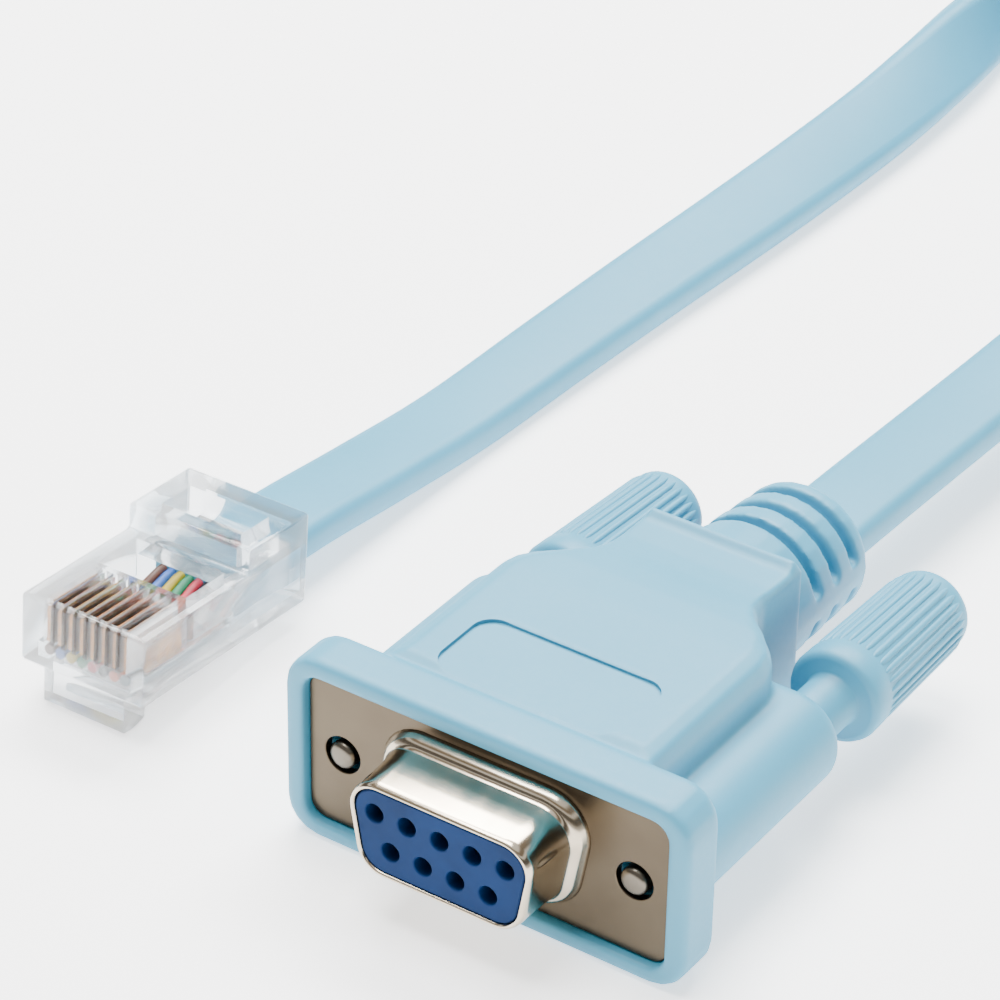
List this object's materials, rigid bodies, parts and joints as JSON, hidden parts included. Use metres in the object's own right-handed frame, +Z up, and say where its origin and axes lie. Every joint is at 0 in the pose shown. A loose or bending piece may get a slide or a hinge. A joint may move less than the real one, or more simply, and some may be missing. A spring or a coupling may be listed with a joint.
{
  "type": "rj45 console cable",
  "caption": "Flat console cable with a moulded D-subminiature socket connector with thumbscrews at one end and a clear modular plug at the other.",
  "frame": {"origin": "under the middle of the D connector's box, cord left out, on the surface that it lies on", "axes": "+X across the D connector, towards its right thumbscrew; +Y from the mating face towards the cable; +Z up"},
  "size_m": [0.1037, 0.2178, 0.0157],
  "materials": {
    "hood_plastic": "satin light blue moulding",
    "cable_jacket": "satin light blue jacket",
    "shell_metal": "bright nickel plated steel",
    "insulator_blue": "satin blue moulding",
    "contact_gold": "gold plated",
    "screw_metal": "nickel plated screw",
    "plug_clear": "clear moulding",
    "wire_colours": "coloured core insulation",
    "tie_black": "matt band"
  },
  "bodies": {
    "connector": {"blade_1": "contact_gold", "blade_2": "contact_gold", "blade_3": "contact_gold", "blade_4": "contact_gold", "blade_5": "contact_gold", "blade_6": "contact_gold", "blade_7": "contact_gold", "blade_8": "contact_gold", "cable_coil": "cable_jacket", "cable_hood_end": "cable_jacket", "cable_plug_end": "cable_jacket", "coil_tie": "tie_black", "face_shell": "shell_metal", "hood": "hood_plastic", "insulator": "insulator_blue", "plug_body": "plug_clear", "socket_contact_1": "contact_gold", "socket_contact_2": "contact_gold", "socket_contact_3": "contact_gold", "socket_contact_4": "contact_gold", "socket_contact_5": "contact_gold", "socket_contact_6": "contact_gold", "socket_contact_7": "contact_gold", "socket_contact_8": "contact_gold", "socket_contact_9": "contact_gold", "wire_1": "wire_colours", "wire_2": "wire_colours", "wire_3": "wire_colours", "wire_4": "wire_colours", "wire_5": "wire_colours", "wire_6": "wire_colours", "wire_7": "wire_colours", "wire_8": "wire_colours"},
    "thumbscrew_left": {"knob_left": "hood_plastic", "screw_left": "screw_metal"},
    "thumbscrew_right": {"knob_right": "hood_plastic", "screw_right": "screw_metal"},
    "latch": {"latch_arm": "plug_clear"}
  },
  "joints": [
    {"name": "thumbscrew_left_turn", "type": "hinge", "parent": "connector", "child": "thumbscrew_left", "pos_m": [-0.01249, -0.01915, 0.00785], "axis": [0.0332, 0.9994, -0.007], "continuous": true},
    {"name": "thumbscrew_right_turn", "type": "hinge", "parent": "connector", "child": "thumbscrew_right", "pos_m": [0.01249, -0.01915, 0.00785], "axis": [0, 1, -0.007], "continuous": true},
    {"name": "latch_press", "type": "hinge", "parent": "connector", "child": "latch", "pos_m": [-0.03724, -0.01577, 0.00143], "axis": [0.9999, 0.014, 0], "range_deg": [0, 3], "stiffness_Nm_per_rad": 0.1}
  ]
}
